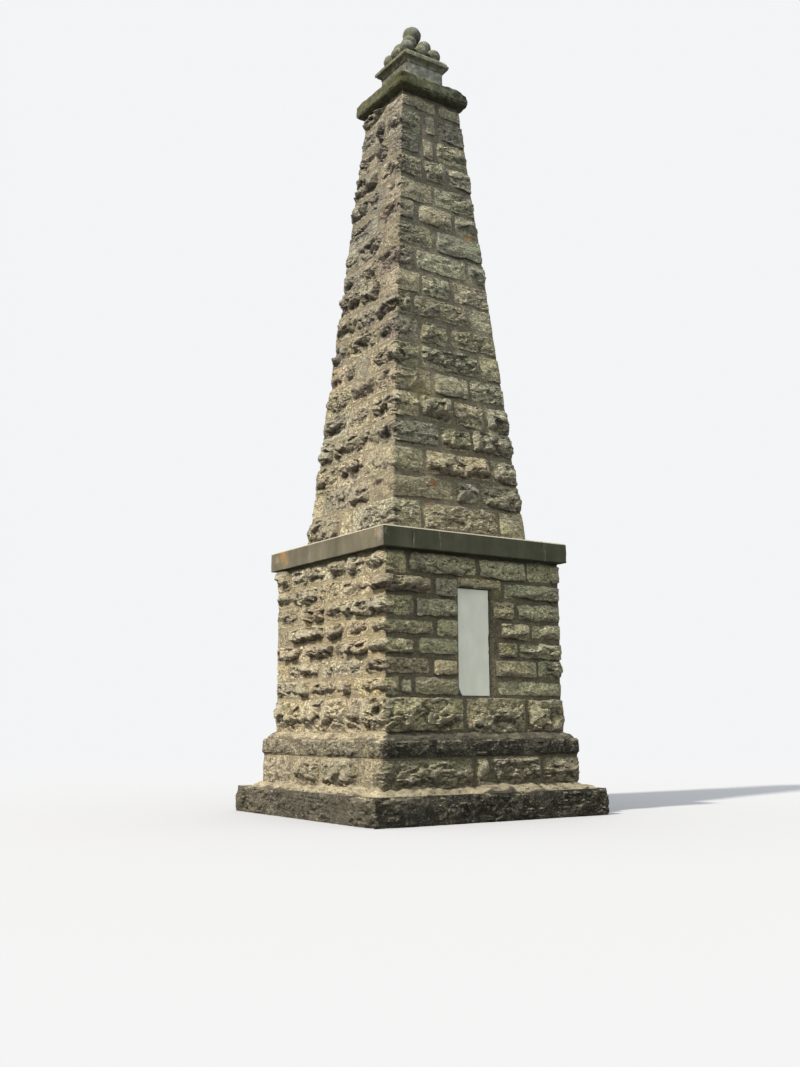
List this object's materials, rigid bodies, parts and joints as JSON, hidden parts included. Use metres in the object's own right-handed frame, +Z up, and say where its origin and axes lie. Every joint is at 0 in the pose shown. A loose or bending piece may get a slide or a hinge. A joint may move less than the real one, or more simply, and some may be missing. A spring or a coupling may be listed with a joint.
{
  "type": "stone obelisk",
  "caption": "Tapering shaft of rough coursed stone on a stepped square pedestal, with a marble tablet and a pyramid of stone balls on a moulded cap.",
  "frame": {"origin": "on the ground under the middle of the shaft", "axes": "+Z up; the front with the tablet faces -Y; +X to the right seen from the front"},
  "size_m": [3.566, 3.566, 11.3379],
  "materials": {
    "rock_faced_stone": "rock-faced limestone, weathered",
    "lime_mortar": "trowelled mortar",
    "white_marble": "honed, weathered",
    "sawn_stone": "sawn limestone, stained",
    "weathered_stone": "dressed limestone with lichen"
  },
  "bodies": {
    "root": {"lower_step": "rock_faced_stone", "lower_wash": "lime_mortar", "upper_step_blocks": "rock_faced_stone", "upper_step_coping": "rock_faced_stone", "upper_wash": "lime_mortar", "pedestal_course_1": "rock_faced_stone", "pedestal_course_2": "rock_faced_stone", "pedestal_course_3": "rock_faced_stone", "pedestal_course_4": "rock_faced_stone", "pedestal_course_5": "rock_faced_stone", "pedestal_course_6": "rock_faced_stone", "pedestal_course_7": "rock_faced_stone", "pedestal_course_8": "rock_faced_stone", "marble_tablet": "white_marble", "cornice_left": "sawn_stone", "cornice_right": "sawn_stone", "cornice_front": "sawn_stone", "cornice_back": "sawn_stone", "cornice_hearting": "lime_mortar", "shaft_course_1": "rock_faced_stone", "shaft_course_2": "rock_faced_stone", "shaft_course_3": "rock_faced_stone", "shaft_course_4": "rock_faced_stone", "shaft_course_5": "rock_faced_stone", "shaft_course_6": "rock_faced_stone", "shaft_course_7": "rock_faced_stone", "shaft_course_8": "rock_faced_stone", "shaft_course_9": "rock_faced_stone", "shaft_course_10": "rock_faced_stone", "shaft_course_11": "rock_faced_stone", "shaft_course_12": "rock_faced_stone", "shaft_course_13": "rock_faced_stone", "shaft_course_14": "rock_faced_stone", "shaft_course_15": "rock_faced_stone", "shaft_course_16": "rock_faced_stone", "shaft_course_17": "rock_faced_stone", "shaft_course_18": "rock_faced_stone", "cap_slab": "weathered_stone", "neck_block": "weathered_stone", "moulded_slab": "weathered_stone", "ball_tier_lower": "weathered_stone", "ball_tier_upper": "weathered_stone", "top_ball": "weathered_stone"}
  },
  "joints": []
}
